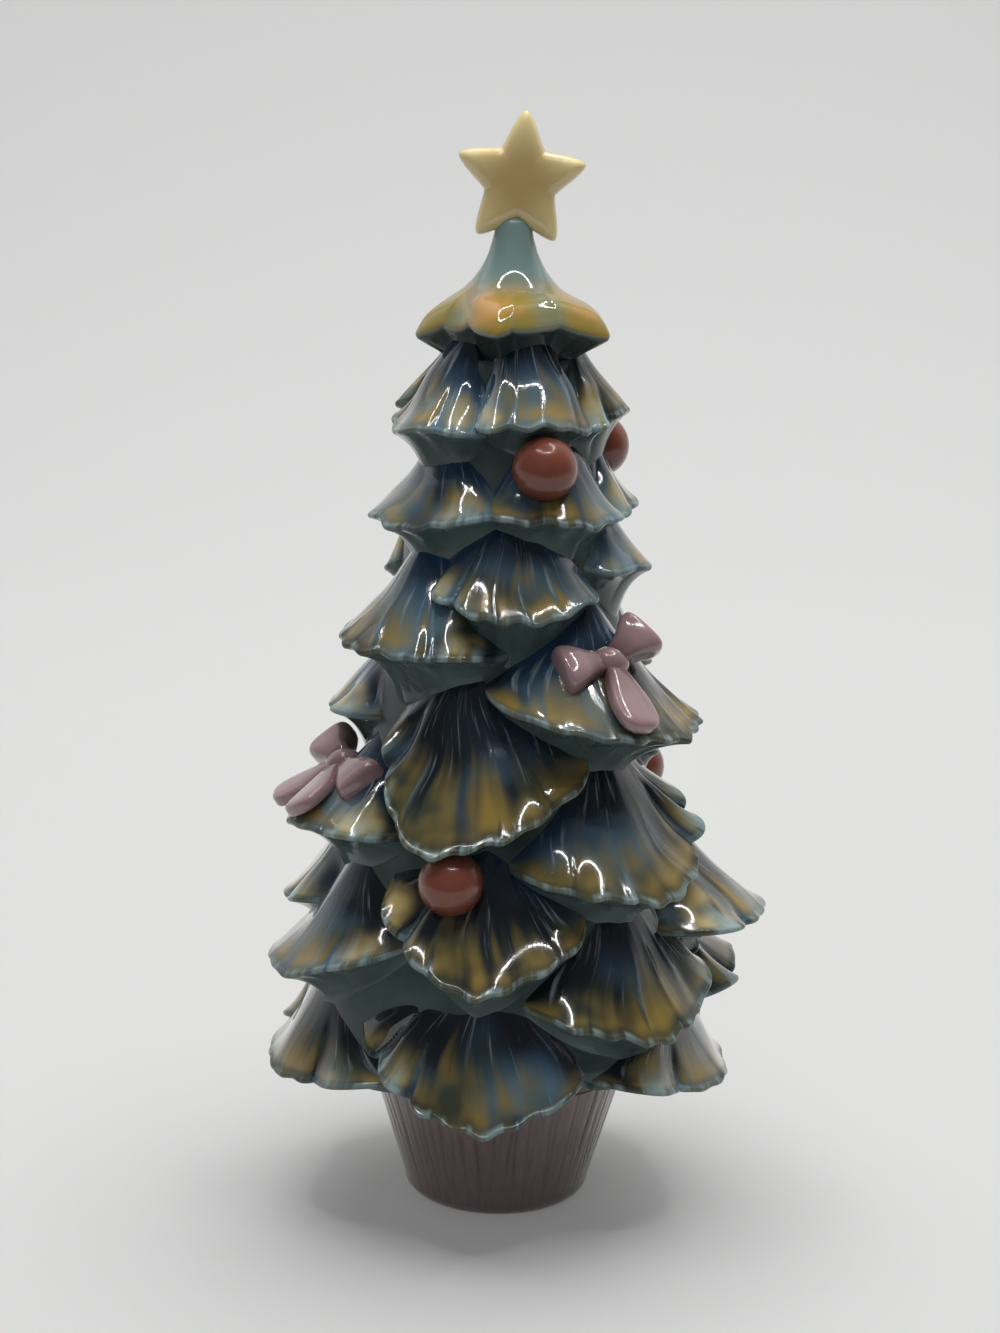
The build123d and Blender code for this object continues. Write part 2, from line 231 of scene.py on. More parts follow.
# Mauve-brown iron glaze: thin on the combed strokes' edges, darker where it pools in them, semi-gloss.
pot_glaze, tree, shader = new_glaze("mauve_brown_iron_glaze", 0.2, 0.6)
space = object_space(tree)
grain = drawn_out(space, POT_GRAIN_PER_METRE, 5.0)
colour = over(level(grain, 0.3, 0.7), linear("#6f5a5e"), linear("#846f73"))
colour = over(noise(space, 0.012, 3.0), colour, linear("#6f5a5b"))
colour = over(mark(tree, "stroke"), colour, linear("#584649"))
tree.links.new(colour, shader.inputs["Base Color"])
tree.links.new(bump(grain, 0.25, 0.0003), shader.inputs["Normal"])
pot = skin("pot_body", pot_rings, pot_glaze, stroke=strokes / STROKE_DEPTH)
place(pot, "pot")

# Trunk: a hollow cast cone that stands in the pot on its spigot and carries every bough. Only bands of it
# show between the boughs, as smooth slate-teal coves where the glaze ran thick.
TREE_HEIGHT = 0.178
CORE_FOOT_R = 0.0413
CORE_FOOT_RISE = 0.0075
CORE_TIP_R = 0.0026
SPIGOT_R = 0.0211
SPIGOT_DEPTH = 0.0045
RIM_GAP = 0.0002
CROWN_SEAT_SHARE = 0.818
CONE_START = 0.001
CONE_STOP = 0.0006
TRUNK_AROUND = 180
TRUNK_STEPS = 90
TRUNK_LUMP = 0.0005
TRUNK_LUMP_MARGIN = 0.002
# Waves around the trunk, radians per metre of height, and phase.
TRUNK_LUMP_WAVES = ((3, 160, 0), (5, -90, 1))
SLIP_LOW = 0.001
SLIP_HIGH = 0.0036
SLIP_LOW_Z = 0.115
SLIP_HIGH_Z = 0.15


def height(share):
    return POT_HEIGHT + share * TREE_HEIGHT


def trunk_radius(z):
    return between(CORE_FOOT_R, CORE_TIP_R, (z - POT_HEIGHT) / TREE_HEIGHT)


def cove_radius(z):
    # The slip that fills the joints swells the trunk, most of all near its top.
    return trunk_radius(z) + between(SLIP_LOW, SLIP_HIGH, smooth_step(z, SLIP_LOW_Z, SLIP_HIGH_Z))


seat_z = height(CROWN_SEAT_SHARE)
spigot_z = POT_HEIGHT - SPIGOT_DEPTH
foot_slope = (trunk_radius(POT_HEIGHT + CORE_FOOT_RISE) - POT_RIM_R) / CORE_FOOT_RISE
cone_z = np.linspace(POT_HEIGHT + CONE_START, seat_z - CONE_STOP, TRUNK_STEPS)[:, None]
cone_r = np.minimum(cove_radius(cone_z), POT_RIM_R + foot_slope * (cone_z - POT_HEIGHT))
trunk_profile = np.concatenate([
    [[AXIS_R, spigot_z], [SPIGOT_R, spigot_z], [SPIGOT_R, POT_HEIGHT], [POT_RIM_R, POT_HEIGHT + RIM_GAP]],
    np.concatenate([cone_r, cone_z], 1),
    [[AXIS_R, seat_z]],
])
trunk_turn = full_turn(TRUNK_AROUND)
trunk_r, trunk_z = trunk_profile[:, :1], trunk_profile[:, 1:]
lumps = TRUNK_LUMP * (trunk_z > POT_HEIGHT + TRUNK_LUMP_MARGIN) * (trunk_z < seat_z - TRUNK_LUMP_MARGIN)
for turns, per_metre, phase in TRUNK_LUMP_WAVES:
    lumps = lumps * np.sin(turns * trunk_turn + per_metre * trunk_z + phase)
trunk_rings = at_azimuth(trunk_turn, trunk_r + lumps, trunk_z)

# Slate-teal celadon: a grey-green glaze that pools darker in hollows and breaks pale where it thins.
trunk_glaze, tree, shader = new_glaze("slate_teal_celadon", 0.3, 0.2, specular=0.25)
pool = noise(object_space(tree), 0.014, 4.0)
colour = over(level(pool, 0.35, 0.68), linear("#2d3a39"), linear("#4d5f5d"))
tree.links.new(colour, shader.inputs["Base Color"])
tree.links.new(bump(pool, 0.2, 0.0008), shader.inputs["Normal"])
trunk = skin("trunk_cone", trunk_rings, trunk_glaze)
place(trunk, "trunk_core")

# Boughs: fans of clay pressed over the maker's finger, so that flutes spread from the apex to a scalloped
# lip. Each is luted to the trunk by its root, and the rows are staggered so that the lips overlap.
BOUGH_REACH = 0.0212
BOUGH_ACROSS = 141
BOUGH_EVEN_SHARE = 0.6
TOP_STEPS = 36
LIP_STEPS = 8
SOFFIT_STEPS = 14
SPAN_SHARE = 1.1
TUCK = 0.008
APEX_BACK = 0.004
SEAT_SINK = 0.0004
ROOT_SINK = 0.003
ROOT_POWER = 1.2
COVE_DROP = 0.003
CORNER_LOW_REACH_SHARE = 0.36
CORNER_HIGH_REACH_SHARE = 0.6
CORNER_ROUND_SHARE = 0.74
CORNER_THICK = 0.003
CORNER_DROP = 0.0012
SHOULDER_LOW_POWER = 1.2
SHOULDER_HIGH_POWER = 2.4
LIP_HALF = 0.0006
LIP_THIN_SHARE = 0.28
LIP_BLUNT = 0.05
LIP_FALL_SHARE = 0.75
LIP_REACH_SHARE = 0.7
# Control points: shares of the run and drop of the upper face, of half the lip's thickness, and of the run
# and drop of the soffit.
FACE_PULL_SHARES = ((0, 0), (0.28, 0.37), (0.62, 0.72), (1, 1))
LIP_PULL_SHARES = ((0, 0), (0.9, -0.35), (0.9, -1.6), (0, -2))
SOFFIT_PULL_SHARES = ((0, 0), (0.45, 0.12), (0.9, 0.45), (1, 1))
FOLD_PITCH = 0.0078
FOLD_LEAST = 4
FOLD_HEIGHT = 0.0036
FOLD_LEVEL = 0.55
FOLD_POWER = 0.65
FOLD_WEAK_SHARE = 0.25
CREASE_WIDTH_SHARE = 0.085
CREASE_UNEVEN_SHARE = 0.4
RIDGE_SHARE = 0.22
RAGGED_SHARE = 0.25
SCALLOP_REACH = 0.0038
SCALLOP_ALONG_SHARES = (0.5, 1.0)
UNDER_SHARES = (0.2, 1.2)
FAN_SEEDS = (0, 40)
LUMP_HEIGHT = 0.0005
SWAY = 0.03
SWAY_FINE_SHARE = 0.7
# Radians per metre down the face and across it, of the sway, the creases, the lumps and the ragged lip.
SWAY_DOWN = 150
SWAY_DOWN_FINE = 330
SWAY_SIDE = 120
CREASE_DOWN = 260
CREASE_SIDE = 190
LUMP_DOWN = 210
LUMP_SIDE = 260
RAGGED_SIDE = 290
RAGGED_SIDE_FINE = 700
# What the folds draw from: where an edge lies in its pitch, how full a fold is, how sharp a crease is.
FOLD_JITTER = (-0.3, 0.3)
FOLD_FULLNESS = (0.6, 1.0)
CREASE_STRENGTH = (0.2, 1.0)
# Where folds spread from the smooth middle, and where they grow: past the apex, down the face, on thick clay.
FOLD_SPREAD_SHARES = (0.22, 0.6)
GROW_REACH = (0.002, 0.022)
GROW_ALONG_SHARES = (0.05, 0.45)
GROW_THICK = (0.002, 0.013)
# Boughs that point sideways have fewer, calmer folds and pointed tips; those high up have fuller tops.
SIDE_AZIMUTH = 55
SIDE_PITCH_SHARE = 1.6
SIDE_RIDGE_SHARE = 0.35
SIDE_BLUNT_SHARE = 0.12
HIGH_LIP_SHARES = (0.5, 0.62)
HIGH_RIDGE_LOSS = 0.75
HIGH_FOLD_LOSS = 0.3
# A bough's left half is the deeply folded one between the first two azimuths and past the third.
LEFT_FOLDED_FROM = -50
LEFT_FOLDED_TO = 20
LEFT_FOLDED_AGAIN = 60
# Azimuth, left and right span in degrees, then shares of the tree's height for the apex, lip and root, the
# reach past the trunk as a share of BOUGH_REACH, and the heights of the two side corners.
BOUGH_SHARES = {
    "bough_2_left": (-56, 38, 44, 0.803, 0.739, 0.685, 0.65, 0.758, 0.747),
    "bough_2_front": (15, 40, 42, 0.812, 0.750, 0.725, 0.58, 0.755, 0.750),
    "bough_2_right": (84, 42, 36, 0.806, 0.758, 0.702, 0.54, 0.748, 0.753),
    "bough_2_back_right": (150, 38, 38, 0.809, 0.747, 0.697, 0.58, 0.781, 0.770),
    "bough_2_back_left": (-125, 36, 30, 0.809, 0.747, 0.697, 0.60, 0.772, 0.772),
    "bough_3_left": (-54, 42, 52, 0.683, 0.640, 0.596, 0.62, 0.655, 0.664),
    "bough_3_front": (32, 44, 40, 0.690, 0.648, 0.607, 0.58, 0.664, 0.655),
    "bough_3_right": (97, 42, 36, 0.705, 0.655, 0.621, 0.48, 0.650, 0.663),
    "bough_3_back": (-165, 38, 38, 0.736, 0.652, 0.598, 0.57, 0.674, 0.674),
    "bough_4_front": (2, 41, 46, 0.612, 0.548, 0.500, 0.53, 0.583, 0.575),
    "bough_4_right": (84, 38, 40, 0.618, 0.584, 0.534, 0.48, 0.600, 0.596),
    "bough_4_back_right": (150, 38, 38, 0.646, 0.556, 0.500, 0.56, 0.556, 0.579),
    "bough_4_back_left": (-125, 36, 30, 0.652, 0.562, 0.506, 0.34, 0.590, 0.590),
    "bough_5_left": (-50, 46, 48, 0.590, 0.508, 0.452, 0.74, 0.528, 0.510),
    "bough_5_front_right": (50, 54, 42, 0.522, 0.421, 0.371, 0.91, 0.472, 0.433),
    "bough_5_right": (108, 26, 26, 0.534, 0.472, 0.427, 0.35, 0.483, 0.478),
    "bough_5_back": (-165, 38, 38, 0.551, 0.466, 0.416, 0.61, 0.489, 0.489),
    "bough_6_left": (-108, 38, 36, 0.472, 0.412, 0.360, 0.58, 0.422, 0.422),
    "bough_6_back_right": (150, 38, 38, 0.466, 0.382, 0.326, 0.67, 0.427, 0.404),
    "bough_6_right": (108, 26, 24, 0.410, 0.371, 0.343, 0.24, 0.376, 0.365),
    "bough_7_left": (-68, 38, 32, 0.360, 0.303, 0.250, 0.75, 0.312, 0.312),
    "bough_7_front": (-21, 26, 53, 0.445, 0.306, 0.292, 0.66, 0.440, 0.400),
    "bough_7_back": (-165, 38, 38, 0.382, 0.292, 0.236, 0.69, 0.326, 0.326),
    "bough_8_front_right": (46, 40, 36, 0.360, 0.250, 0.211, 0.72, 0.286, 0.358),
    "bough_8_right": (98, 38, 38, 0.275, 0.180, 0.132, 1.00, 0.197, 0.180),
    "bough_8_back_right": (150, 38, 38, 0.298, 0.202, 0.146, 0.74, 0.265, 0.236),
    "bough_9_left": (-62, 36, 32, 0.239, 0.143, 0.104, 0.67, 0.148, 0.200),
    "bough_9_front": (-7, 31, 33, 0.261, 0.163, 0.129, 0.62, 0.262, 0.228),
    "bough_9_back_left": (-112, 40, 38, 0.287, 0.174, 0.132, 0.62, 0.202, 0.213),
    "bough_9_back": (-165, 38, 38, 0.213, 0.129, 0.079, 0.58, 0.146, 0.146),
    "bough_10_front_right": (44, 34, 38, 0.207, 0.096, 0.067, 0.52, 0.140, 0.185),
    "bough_10_right": (112, 35, 35, 0.135, 0.107, 0.062, 0.71, 0.101, 0.101),
    "bough_11_left": (-68, 36, 34, 0.096, 0.018, 0.045, 0.39, 0.030, 0.045),
    "bough_11_front": (-5, 37, 28, 0.124, 0.008, 0.045, 0.31, 0.106, 0.062),
    "bough_11_right": (68, 38, 34, 0.087, 0.014, 0.045, 0.38, 0.055, 0.020),
    "bough_11_back_right": (140, 38, 30, 0.087, 0.014, 0.045, 0.36, 0.036, 0.048),
    "bough_11_back": (-165, 34, 30, 0.076, 0.014, 0.042, 0.34, 0.030, 0.030),
    "bough_11_back_left": (-118, 28, 28, 0.107, 0.020, 0.045, 0.35, 0.056, 0.056),
}


def bezier(points, steps):
    # Points along cubic curves; each control point is a (radius, height) pair of columns.
    share = np.linspace(0, 1, steps)[None, :, None]
    start, pull_near, pull_far, end = [np.stack(point, -1)[:, None, :] for point in points]
    rest = 1 - share
    return rest**3 * start + 3 * rest**2 * share * pull_near + 3 * rest * share**2 * pull_far + share**3 * end


def waves(angle, draw):
    return np.sin(angle + draw.uniform(*PHASE))


def folds(share, count, draw):
    # Uneven finger-wide folds: how full the fold is at a point, and how near it is to the crease between two.
    edges = np.arange(count + 1) + np.pad(draw.uniform(*FOLD_JITTER, count - 1), 1)
    share = np.clip(share, 0, 0.9999) * count
    here = np.clip(np.searchsorted(edges, share, side="right") - 1, 0, count - 1)
    inside = (share - edges[here]) / (edges[here + 1] - edges[here])
    full = draw.uniform(*FOLD_FULLNESS, count)[here] * (4 * inside * (1 - inside)) ** FOLD_POWER
    nearer = here + (inside > 0.5)
    closeness = np.exp(-np.minimum(inside, 1 - inside) / CREASE_WIDTH_SHARE)
    return full, draw.uniform(*CREASE_STRENGTH, count + 1)[nearer] * closeness


def bough_outline(row, cross, sideways, high):
    # For each column across the bough: the heights of its top and root, its lip, and how it rounds off.
    apex, lip, root, reach, left_corner, right_corner = row[3:]
    away = np.abs(cross)
    corner_z = height(np.where(cross < 0, left_corner, right_corner))
    lip_mid_z, root_mid_z = height(lip), height(root)
    shoulder = between(SHOULDER_LOW_POWER, SHOULDER_HIGH_POWER, high)
    top_z = between(height(apex) + TUCK, corner_z, away**shoulder)
    root_z = between(root_mid_z, corner_z - CORNER_THICK, away**ROOT_POWER) - COVE_DROP * (1 - away**2)
    tip_blunt = math.sqrt(LIP_BLUNT * (SIDE_BLUNT_SHARE if sideways else 1))
    blunt = (np.hypot(away, tip_blunt) - tip_blunt) / (math.hypot(1, tip_blunt) - tip_blunt)
    lip_z = between(lip_mid_z, corner_z - CORNER_DROP, between(away**2, blunt, LIP_FALL_SHARE))
    corner_reach = between(CORNER_LOW_REACH_SHARE, CORNER_HIGH_REACH_SHARE, high) * reach * BOUGH_REACH
    tip_r = trunk_radius(lip_mid_z) + reach * BOUGH_REACH
    lip_r = between(tip_r, trunk_radius(corner_z) + corner_reach, between(away**3, blunt, LIP_REACH_SHARE))
    rounding = np.sqrt(1 - np.clip((away - CORNER_ROUND_SHARE) / (1 - CORNER_ROUND_SHARE), 0, 1) ** 2)
    lip_r = between(trunk_radius(lip_z), lip_r, rounding)
    half_lip = np.minimum(LIP_HALF, LIP_THIN_SHARE * (top_z - root_z))
    return top_z, root_z, lip_r, lip_z, half_lip, rounding


def bough_loop(top, half_lip, seat_r, top_z, root_z):
    # The rolled lip, the coved soffit and the root sunk in the trunk close the loop that the face begins.
    edge_r, edge_z = top[:, -1, 0], top[:, -1, 1]
    lip_points = [(edge_r + out * half_lip, edge_z + up * half_lip) for out, up in LIP_PULL_SHARES]
    under_z = edge_z - 2 * half_lip
    root_r = cove_radius(root_z) - SEAT_SINK
    run, drop = edge_r - root_r, under_z - root_z
    soffit_points = [(edge_r - back * run, under_z - fall * drop) for back, fall in SOFFIT_PULL_SHARES]
    sunk = [np.stack([root_r - ROOT_SINK, root_z], -1), np.stack([seat_r - ROOT_SINK, top_z], -1)]
    lip_loop = bezier(lip_points, LIP_STEPS)[:, 1:]
    soffit = bezier(soffit_points, SOFFIT_STEPS)[:, 1:]
    return np.concatenate([top, lip_loop, soffit, np.stack(sunk, 1)], 1)


def carried_on(values, columns):
    # Marks of the upper face, carried on over the rest of the loop.
    return np.pad(values, [(0, 0), (0, columns)] + [(0, 0)] * (values.ndim - 2), mode="edge")


def bough_shape(row, draw):
    azimuth, left_span, right_span, apex, lip = row[:5]
    sideways = abs(azimuth) > SIDE_AZIMUTH
    high = smooth_step(lip, *HIGH_LIP_SHARES)
    even = np.linspace(-1, 1, BOUGH_ACROSS)
    cross = between(np.sin(even * math.pi / 2), even, BOUGH_EVEN_SHARE)
    turn = np.radians(cross * SPAN_SHARE * np.where(cross < 0, left_span, right_span))[:, None]
    top_z, root_z, lip_r, lip_z, half_lip, rounding = bough_outline(row, cross, sideways, high)

    # The smooth upper face, from the trunk to the lip, and its fan of directions from the apex.
    seat_r = cove_radius(top_z) - SEAT_SINK
    run, drop = lip_r - half_lip - seat_r, lip_z + half_lip - top_z
    top = bezier([(seat_r + out * run, top_z + fall * drop) for out, fall in FACE_PULL_SHARES], TOP_STEPS)
    along = np.linspace(0, 1, TOP_STEPS)[None, :]
    apex_z = height(apex) + TUCK
    side = top[..., 0] * turn
    down = np.hypot(top[..., 0] - trunk_radius(apex_z), top[..., 1] - apex_z)
    fan_reach = np.hypot(side, down)
    fan_angle = np.arctan2(side, down + APEX_BACK)
    sway = waves(SWAY_DOWN * down, draw) + SWAY_FINE_SHARE * waves(SWAY_DOWN_FINE * down, draw)
    fan_angle = fan_angle + SWAY * sway * waves(SWAY_SIDE * side, draw)

    # Deep folds at the sides and thin ridges on the smooth middle stand off the face and carry the lip.
    lip_length = np.abs(np.diff(side[:, -1])).sum()
    fan_low, fan_high = fan_angle[:, -1].min(), fan_angle[:, -1].max()
    pitch = FOLD_PITCH * (SIDE_PITCH_SHARE if sideways or high > 0.5 else 1)
    count = max(FOLD_LEAST, round(lip_length / pitch))
    full, crease = folds((fan_angle - fan_low) / (fan_high - fan_low), count, draw)
    crease_waves = waves(CREASE_SIDE * side + CREASE_DOWN * down, draw)
    calm = SIDE_RIDGE_SHARE if sideways else 1
    crease = crease * between(1, crease_waves, CREASE_UNEVEN_SHARE) * calm
    left_folded = LEFT_FOLDED_FROM < azimuth < LEFT_FOLDED_TO or azimuth > LEFT_FOLDED_AGAIN
    strength = np.where((cross < 0) == left_folded, 1.0, FOLD_WEAK_SHARE)
    folded = (smooth_step(np.abs(cross), *FOLD_SPREAD_SHARES) * strength)[:, None]
    fade = rounding * smooth_step(top_z - root_z, *GROW_THICK)
    grow = smooth_step(fan_reach, *GROW_REACH) * smooth_step(along, *GROW_ALONG_SHARES) * fade[:, None]
    slope = np.gradient(top, axis=1)
    slope /= np.linalg.norm(slope, axis=2, keepdims=True) + 1e-9
    face_normal = np.stack([-slope[..., 1], slope[..., 0]], -1)
    lumpy = waves(LUMP_SIDE * side, draw) * waves(LUMP_DOWN * down, draw)
    ridges = RIDGE_SHARE * (1 - HIGH_RIDGE_LOSS * high) * crease
    relief = folded * (full - FOLD_LEVEL) + (1 - folded) * ridges
    lift = FOLD_HEIGHT * (1 - HIGH_FOLD_LOSS * high) * relief + LUMP_HEIGHT * (1 + high) * lumpy
    ragged = waves(RAGGED_SIDE_FINE * side, draw) * waves(RAGGED_SIDE * side, draw) * calm
    carry = SCALLOP_REACH * (relief + RAGGED_SHARE * (1 - folded) * ragged)
    carry = carry * smooth_step(along, *SCALLOP_ALONG_SHARES)
    top = top + face_normal * (lift * grow)[..., None] + slope * (carry * grow)[..., None]
    loop = bough_loop(top, half_lip, seat_r, top_z, root_z)

    # Marks for the glaze: the run from apex to lip, ridges, folds, grooves, the underside, and the fan's map.
    lower = loop.shape[1] - TOP_STEPS
    under = smooth_step(np.arange(lower) / LIP_STEPS, *UNDER_SHARES)
    under = np.concatenate([np.zeros(TOP_STEPS), under])
    fan = np.stack([fan_angle, fan_reach, np.full(fan_angle.shape, draw.uniform(*FAN_SEEDS))], -1)
    marks = {
        "glaze_run": carried_on(np.repeat(along, BOUGH_ACROSS, 0), lower),
        "ridge": carried_on((1 - folded) * crease * grow, lower),
        "fold": carried_on(folded * full * grow, lower),
        "groove": carried_on(folded * (1 - full) ** 2 * grow, lower),
        "under": np.repeat(under[None, :], BOUGH_ACROSS, 0),
        "fan": carried_on(fan, lower),
    }
    return at_azimuth(math.radians(azimuth) + turn, loop[..., 0], loop[..., 1]), marks


def ease(value, low, high, to_low=0.0, to_high=1.0):
    # A smooth change between two values of a mark.
    ranges = {"Value": value, "From Min": low, "From Max": high, "To Min": to_low, "To Max": to_high}
    return add_node(value.id_data, "ShaderNodeMapRange", ranges, interpolation_type="SMOOTHSTEP").outputs[0]


def reckon(operation, *values):
    # Arithmetic on marks; the first value is a socket.
    inputs = dict(enumerate(values))
    return add_node(values[0].id_data, "ShaderNodeMath", inputs, operation=operation).outputs[0]


def times(*shares):
    product = shares[0]
    for share in shares[1:]:
        product = reckon("MULTIPLY", product, share)
    return product


# Layered bough glazes under one clear coat: cobalt and copper run dark from the apex, rutile ochre breaks in
# the hollows near the lip, and the pale teal underglaze shows where the coat drew thin on crest and lip.
bough_glaze, tree, shader = new_glaze("cobalt_rutile_celadon_glaze", 0.12, 1.0)
run_mark, under_mark = mark(tree, "glaze_run"), mark(tree, "under")
ridge_mark, fold_mark, groove_mark = mark(tree, "ridge"), mark(tree, "fold"), mark(tree, "groove")
fan_mark = add_node(tree, "ShaderNodeAttribute", attribute_name="fan").outputs["Vector"]
space = object_space(tree)
rise = add_node(tree, "ShaderNodeSeparateXYZ", {0: space}).outputs["Z"]
streak = drawn_out(fan_mark, (16, 60, 1), 4.0)
column = drawn_out(fan_mark, (8, 24, 1), 1.5)
hair_and_sheen_streak = drawn_out(fan_mark, (24, 60, 1), 3.0)
patch = noise(space, 0.008, 1.2)
mottle = noise(space, 0.0032, 3.0)
tint = reckon("ADD", noise(space, 0.024, 2.0), ease(rise, 0.03, 0.17, -0.07, 0.04))

# Dark cobalt at the apex, slate blue further down, and fine pale hairs, partly glaze streaks where the two
# ran together and partly painted highlight.
navy = over(ease(tint, 0.44, 0.64), linear("#03070f"), linear("#163553"))
slate = over(ease(tint, 0.42, 0.64), linear("#0f1b26"), linear("#5a7787"))
colour = over(ease(run_mark, 0.15, 0.8), navy, slate)
# The pale hairs are partly the glaze's streaks and partly painted highlight, stronger on the full folds.
hair_and_sheen_place = times(ease(hair_and_sheen_streak, 0.57, 0.74), ease(run_mark, 0.05, 0.25), ease(run_mark, 0.45, 0.85, 1, 0), 0.6)
colour = over(times(hair_and_sheen_place, ease(fold_mark, 0.0, 0.3, 0.8, 1.6)), colour, linear("#a3b2ba"))

# Olive, then ochre, in columns of uneven length that ridges and grooves keep clear of.
hold = times(ease(ridge_mark, 0.2, 0.5, 1, 0), ease(groove_mark, 0.06, 0.3, 1, 0))
olive_place = times(ease(run_mark, 0.4, 0.7), hold, ease(column, 0.36, 0.56), 0.45)
colour = over(olive_place, colour, linear("#55583a"))
ochre_start = reckon("MULTIPLY_ADD", column, 1.1, run_mark)
ochre_place = times(ease(ochre_start, 1.0, 1.6), ease(run_mark, 0.88, 0.99, 1, 0.2), hold)
ochre_place = times(ochre_place, ease(patch, 0.24, 0.62))
fold_ochre = times(ease(fold_mark, 0.25, 0.9), ease(run_mark, 0.3, 0.7), ease(run_mark, 0.8, 0.98, 1, 0))
fold_ochre = times(fold_ochre, ease(patch, 0.3, 0.66))
# Dark ochre off the folds and pale ochre on their full crests: painted light and shade on the lobes.
ochre = over(ease(fold_mark, 0.2, 0.8), linear("#927b3b"), linear("#c8b06c"))
colour = over(reckon("MAXIMUM", ochre_place, fold_ochre), colour, ochre)

# Pale celadon on the folds' crests, milky in the grooves, along the ridges and broken along the lip.
pale = over(mottle, linear("#76918f"), linear("#a8bcbb"))
crest_place = times(ease(fold_mark, 0.3, 0.8), ease(run_mark, 0.55, 0.95), ease(streak, 0.4, 0.58), 0.85)
colour = over(crest_place, colour, pale)
milky_place = times(ease(groove_mark, 0.1, 0.5), ease(streak, 0.4, 0.6), 0.6)
colour = over(milky_place, colour, linear("#7f96a0"))
ridge_place = times(ease(ridge_mark, 0.3, 0.75), ease(run_mark, 0.15, 0.5), ease(streak, 0.35, 0.6, 0.3, 1))
colour = over(times(ridge_place, 0.7), colour, linear("#93a9a4"))
lip_place = times(ease(run_mark, 0.95, 1.0), ease(streak, 0.44, 0.62, 0.05, 0.6))
colour = over(lip_place, colour, pale)
colour = over(under_mark, colour, over(patch, linear("#33413f"), linear("#5a6e6b")))
tree.links.new(colour, shader.inputs["Base Color"])

# The coat drew thin on the lip and the soffit, so the lamps shine less there.
tree.links.new(ease(run_mark, 0.9, 1.0, 1, 0.3), shader.inputs["Coat Weight"])
tree.links.new(ease(run_mark, 0.9, 1.0, 0.5, 0.2), shader.inputs["Specular IOR Level"])
tree.links.new(bump(streak, 0.12, 0.0006), shader.inputs["Normal"])

for number, (name, row) in enumerate(BOUGH_SHARES.items()):
    rings, marks = bough_shape(row, np.random.default_rng(100 + number))
    place(skin(name + "_fan", rings, bough_glaze, **marks), name)

# Crown: the spire and its five-lobed skirt, cast as one and plugged into the trunk. The teal spire runs
# into ochre on the skirt, whose rolled lip overhangs a dark soffit, partly its glaze and partly painted
# shade.
CROWN_SKIRT_R = 0.0184
SPIRE_TOP_SHARE = 0.956
TIP_SINK = 0.0024
CROWN_AROUND = 220
CROWN_FOLDS = 11
CROWN_LOBES = 5
CROWN_LOBE_TURN = math.radians(-8)
CROWN_LOBE_POWER = 1.15
# Shares of the skirt's radius and of the crown's height that lobes, folds and an uneven hand add or take.
LOBE_OUT_SHARE = 0.24
SKIRT_IN_SHARE = 0.15
SKIRT_SHIFT_SHARE = 0.06
FOLD_OUT_SHARE = 0.03
DROOP_SHARE = 0.05
DROOP_LEVEL = 0.6
SKIRT_SHARES = (0.45, 1.0)
# Height above the seat as a share of the crown's height, then radius as a share of CROWN_SKIRT_R.
CROWN_SHARES = (
    (-0.12, 0.03), (-0.12, 0.60), (-0.06, 0.64), (-0.01, 0.70), (0.03, 0.77), (0.07, 0.86), (0.10, 0.925),
    (0.125, 0.98), (0.15, 1.0), (0.175, 0.995), (0.21, 0.97), (0.25, 0.935), (0.30, 0.885), (0.35, 0.80),
    (0.39, 0.715), (0.43, 0.62), (0.474, 0.52), (0.53, 0.435), (0.60, 0.355), (0.66, 0.305), (0.726, 0.262),
    (0.79, 0.235), (0.85, 0.212), (0.915, 0.195), (0.95, 0.175), (0.975, 0.14), (0.992, 0.08), (1.0, 0.02),
)
crown_up, crown_out = np.array(CROWN_SHARES)[:, :1], np.array(CROWN_SHARES)[:, 1:]
crown_turn = full_turn(CROWN_AROUND)
every_point = np.ones((len(CROWN_SHARES), CROWN_AROUND))
skirt = smooth_step(crown_out, *SKIRT_SHARES)
lobe = 1 - np.abs(np.sin(CROWN_LOBES * (crown_turn - CROWN_LOBE_TURN) / 2)) ** CROWN_LOBE_POWER
crown_full = folds(crown_turn / (2 * math.pi) * every_point, CROWN_FOLDS, np.random.default_rng(7))[0]
swell = LOBE_OUT_SHARE * lobe - SKIRT_IN_SHARE + SKIRT_SHIFT_SHARE * np.sin(crown_turn)
swell = swell + FOLD_OUT_SHARE * (crown_full - DROOP_LEVEL)
droop = DROOP_SHARE * (lobe + crown_full - 2 * DROOP_LEVEL - np.cos(crown_turn))
crown_height = (SPIRE_TOP_SHARE - CROWN_SEAT_SHARE) * TREE_HEIGHT + TIP_SINK
crown_r = CROWN_SKIRT_R * (crown_out + skirt * swell)
crown_z = seat_z + crown_height * (crown_up - skirt * droop)
crown_rings = at_azimuth(crown_turn, crown_r, crown_z)
crown_marks = {
    "crown_up": crown_up * every_point,
    "crest": (1 - crown_full) * skirt,
    "lobe": lobe * every_point,
}

